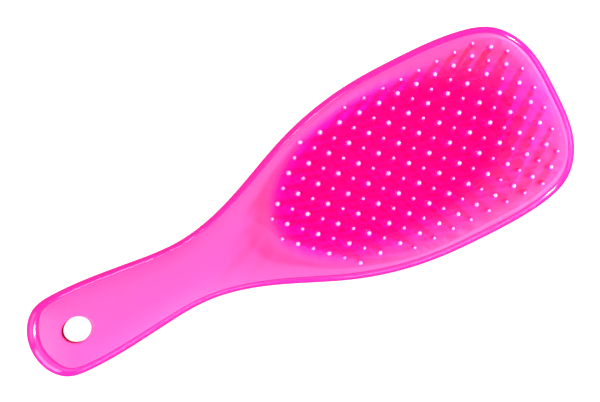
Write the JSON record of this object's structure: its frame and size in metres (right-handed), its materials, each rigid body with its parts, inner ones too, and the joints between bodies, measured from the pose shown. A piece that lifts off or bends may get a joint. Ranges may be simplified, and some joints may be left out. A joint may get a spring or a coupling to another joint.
{
  "type": "detangling hairbrush",
  "caption": "Flat paddle hairbrush with an integral handle, an oval hang hole and a bed of flexible long and short teeth under a rigid rear shell.",
  "frame": {"origin": "under mid-length on the centre line, on the flat land of the back that the brush rests on", "axes": "+X from the handle end to the head end, +Y across the brush, +Z out of the tooth face"},
  "size_m": [0.1831, 0.0624, 0.032],
  "materials": {
    "shell_gloss": "polished hot pink",
    "plate_satin": "satin hot pink, slightly translucent, flexible",
    "tooth_satin": "satin hot pink, slightly translucent, flexible"
  },
  "bodies": {
    "root": {"rear_shell": "shell_gloss", "front_plate": "plate_satin", "long_teeth": "tooth_satin", "short_teeth": "tooth_satin"}
  },
  "joints": []
}
